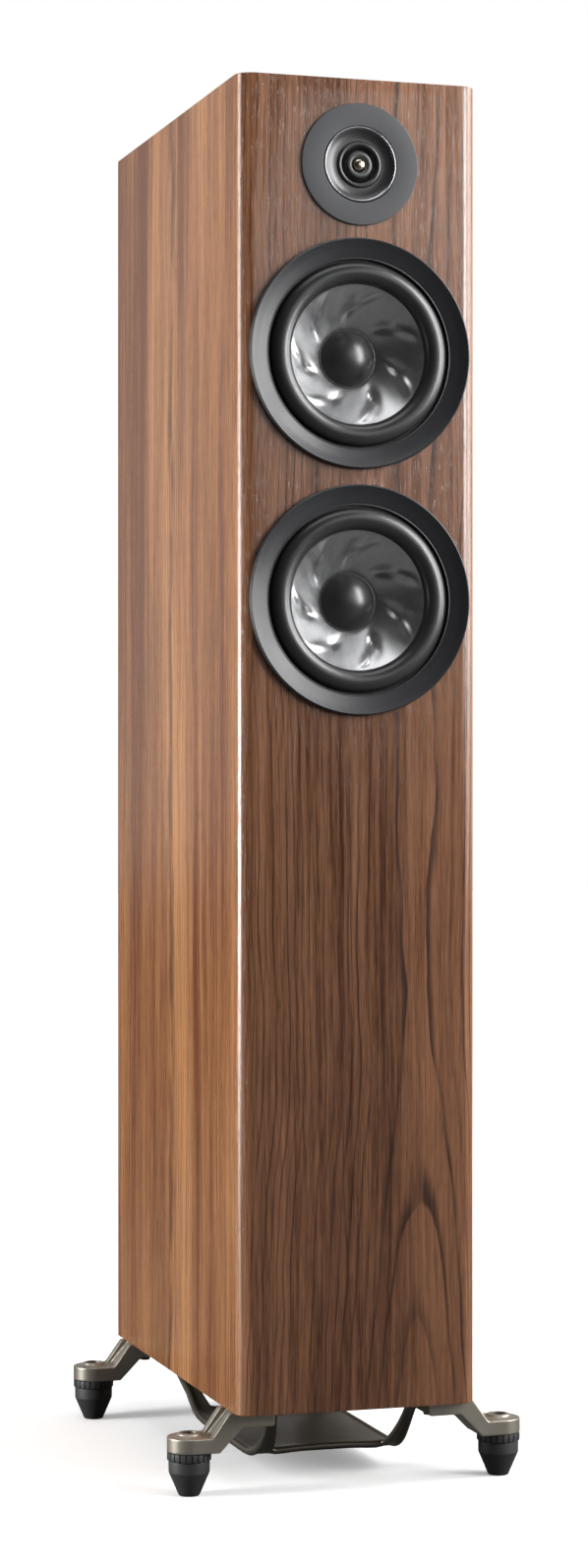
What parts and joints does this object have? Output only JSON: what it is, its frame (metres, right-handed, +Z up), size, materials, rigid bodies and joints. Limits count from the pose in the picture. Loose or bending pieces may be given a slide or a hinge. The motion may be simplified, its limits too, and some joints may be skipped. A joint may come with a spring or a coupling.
{
  "type": "floorstanding speaker",
  "caption": "Tall walnut floorstanding speaker cabinet with a ring tweeter over swirl-cone woofers, on cast outrigger legs with rubber levelling feet and a port diffuser tray.",
  "frame": {"origin": "on the floor, under the centre of the cabinet's footprint", "axes": "+X to the right seen from the front, +Y to the back, +Z up; the baffle faces -Y"},
  "size_m": [0.2886, 0.389, 1.091],
  "materials": {
    "walnut": "satin walnut veneer",
    "brace_board": "raw fibreboard",
    "port_plastic": "moulded black plastic",
    "wadding": "loose polyester wadding",
    "faceplate": "satin dark grey anodised",
    "waveguide": "satin black dish with a bright turned edge",
    "tweeter_film": "thin metallised film",
    "phase_plug": "polished pale brass",
    "magnet_steel": "plated steel",
    "ferrite": "bare ferrite",
    "screw_black": "black zinc",
    "trim_ring": "satin black",
    "basket": "black powder coat",
    "surround_rubber": "smooth butyl rubber",
    "cone": "dark grey filled polypropylene with a metallic sheen",
    "dust_cap": "gloss black",
    "copper": "enamelled copper",
    "spider_cloth": "resin-treated cloth",
    "board_green": "solder mask",
    "capacitor": "film capacitor sleeve",
    "ceramic": "white cement",
    "wire": "insulated copper",
    "terminal_plastic": "moulded black plastic",
    "terminal_gold": "gold plated",
    "knob_red": "clear-coated red",
    "knob_black": "clear-coated black",
    "cast_alloy": "satin champagne grey casting",
    "tray_alloy": "satin dark bronze coat",
    "foot_rubber": "charcoal rubber",
    "spindle_steel": "black oxide steel with a rubber-coated wheel"
  },
  "bodies": {
    "cabinet": {"left_side_panel": "walnut", "right_side_panel": "walnut", "top_panel": "walnut", "bottom_panel": "walnut", "rear_panel": "walnut", "front_baffle": "walnut", "cabinet_braces": "brace_board", "port_tube": "port_plastic", "damping_wadding": "wadding", "tweeter_faceplate": "faceplate", "tweeter_waveguide": "waveguide", "tweeter_phase_plug": "phase_plug", "tweeter_motor": "ferrite", "tweeter_screws": "screw_black", "woofer_screws": "screw_black", "terminal_screws": "screw_black", "base_screws": "screw_black", "upper_trim_ring": "trim_ring", "upper_basket": "basket", "upper_surround": "surround_rubber", "upper_spider": "spider_cloth", "upper_magnet": "ferrite", "upper_yoke": "magnet_steel", "lower_trim_ring": "trim_ring", "lower_basket": "basket", "lower_surround": "surround_rubber", "lower_spider": "spider_cloth", "lower_magnet": "ferrite", "lower_yoke": "magnet_steel", "crossover_board": "board_green", "crossover_inductors": "copper", "crossover_capacitors": "capacitor", "crossover_resistors": "ceramic", "internal_wiring": "wire", "terminal_cup": "terminal_plastic", "terminal_posts": "terminal_gold", "front_left_outrigger": "cast_alloy", "front_right_outrigger": "cast_alloy", "rear_left_outrigger": "cast_alloy", "rear_right_outrigger": "cast_alloy", "port_diffuser": "tray_alloy"},
    "upper_cone_body": {"upper_cone": "cone", "upper_dust_cap": "dust_cap", "upper_voice_coil": "copper"},
    "lower_cone_body": {"lower_cone": "cone", "lower_dust_cap": "dust_cap", "lower_voice_coil": "copper"},
    "tweeter_dome_body": {"tweeter_diaphragm": "tweeter_film"},
    "red_washer_body": {"red_washer": "terminal_gold"},
    "red_knob_body": {"red_knob": "knob_red"},
    "black_washer_body": {"black_washer": "terminal_gold"},
    "black_knob_body": {"black_knob": "knob_black"},
    "front_left_foot_body": {"front_left_foot": "foot_rubber"},
    "front_left_spindle_body": {"front_left_spindle": "spindle_steel"},
    "front_right_foot_body": {"front_right_foot": "foot_rubber"},
    "front_right_spindle_body": {"front_right_spindle": "spindle_steel"},
    "rear_left_foot_body": {"rear_left_foot": "foot_rubber"},
    "rear_left_spindle_body": {"rear_left_spindle": "spindle_steel"},
    "rear_right_foot_body": {"rear_right_foot": "foot_rubber"},
    "rear_right_spindle_body": {"rear_right_spindle": "spindle_steel"}
  },
  "joints": [
    {"name": "upper_cone_travel", "type": "slide", "parent": "cabinet", "child": "upper_cone_body", "axis": [0, -1, 0], "range_m": [-0.005, 0.005], "stiffness_N_per_m": 1500, "deforming": ["upper_surround", "upper_spider"]},
    {"name": "lower_cone_travel", "type": "slide", "parent": "cabinet", "child": "lower_cone_body", "axis": [0, -1, 0], "range_m": [-0.005, 0.005], "stiffness_N_per_m": 1500, "deforming": ["lower_surround", "lower_spider"]},
    {"name": "tweeter_dome_travel", "type": "slide", "parent": "cabinet", "child": "tweeter_dome_body", "axis": [0, -1, 0], "range_m": [-0.0003, 0.0003], "stiffness_N_per_m": 800},
    {"name": "front_left_foot_travel", "type": "slide", "parent": "cabinet", "child": "front_left_foot_body", "axis": [0, 0, -1], "range_m": [0, 0.008]},
    {"name": "front_left_spindle_turn", "type": "hinge", "parent": "front_left_foot_body", "child": "front_left_spindle_body", "pos_m": [-0.127, -0.156, 0.03], "axis": [0, 0, -1], "range_deg": [0, 1920.1]},
    {"name": "front_right_foot_travel", "type": "slide", "parent": "cabinet", "child": "front_right_foot_body", "axis": [0, 0, -1], "range_m": [0, 0.008]},
    {"name": "front_right_spindle_turn", "type": "hinge", "parent": "front_right_foot_body", "child": "front_right_spindle_body", "pos_m": [0.127, -0.156, 0.03], "axis": [0, 0, -1], "range_deg": [0, 1920.1]},
    {"name": "rear_left_foot_travel", "type": "slide", "parent": "cabinet", "child": "rear_left_foot_body", "axis": [0, 0, -1], "range_m": [0, 0.008]},
    {"name": "rear_left_spindle_turn", "type": "hinge", "parent": "rear_left_foot_body", "child": "rear_left_spindle_body", "pos_m": [-0.127, 0.156, 0.03], "axis": [0, 0, -1], "range_deg": [0, 1920.1]},
    {"name": "rear_right_foot_travel", "type": "slide", "parent": "cabinet", "child": "rear_right_foot_body", "axis": [0, 0, -1], "range_m": [0, 0.008]},
    {"name": "rear_right_spindle_turn", "type": "hinge", "parent": "rear_right_foot_body", "child": "rear_right_spindle_body", "pos_m": [0.127, 0.156, 0.03], "axis": [0, 0, -1], "range_deg": [0, 1920.1]},
    {"name": "red_washer_travel", "type": "slide", "parent": "cabinet", "child": "red_washer_body", "axis": [0, 1, 0], "range_m": [0, 0.004]},
    {"name": "red_knob_turn", "type": "hinge", "parent": "red_washer_body", "child": "red_knob_body", "pos_m": [-0.019, 0.1815, 0.214], "axis": [0, 1, 0], "range_deg": [0, 1440.1]},
    {"name": "black_washer_travel", "type": "slide", "parent": "cabinet", "child": "black_washer_body", "axis": [0, 1, 0], "range_m": [0, 0.004]},
    {"name": "black_knob_turn", "type": "hinge", "parent": "black_washer_body", "child": "black_knob_body", "pos_m": [0.019, 0.1815, 0.214], "axis": [0, 1, 0], "range_deg": [0, 1440.1]}
  ],
  "couplings": [
    {"joint": "front_left_spindle_turn", "follows": "front_left_foot_travel", "rad_per_m": 4188.8},
    {"joint": "front_right_spindle_turn", "follows": "front_right_foot_travel", "rad_per_m": 4188.8},
    {"joint": "rear_left_spindle_turn", "follows": "rear_left_foot_travel", "rad_per_m": 4188.8},
    {"joint": "rear_right_spindle_turn", "follows": "rear_right_foot_travel", "rad_per_m": 4188.8},
    {"joint": "red_knob_turn", "follows": "red_washer_travel", "rad_per_m": 6283.2},
    {"joint": "black_knob_turn", "follows": "black_washer_travel", "rad_per_m": 6283.2}
  ]
}
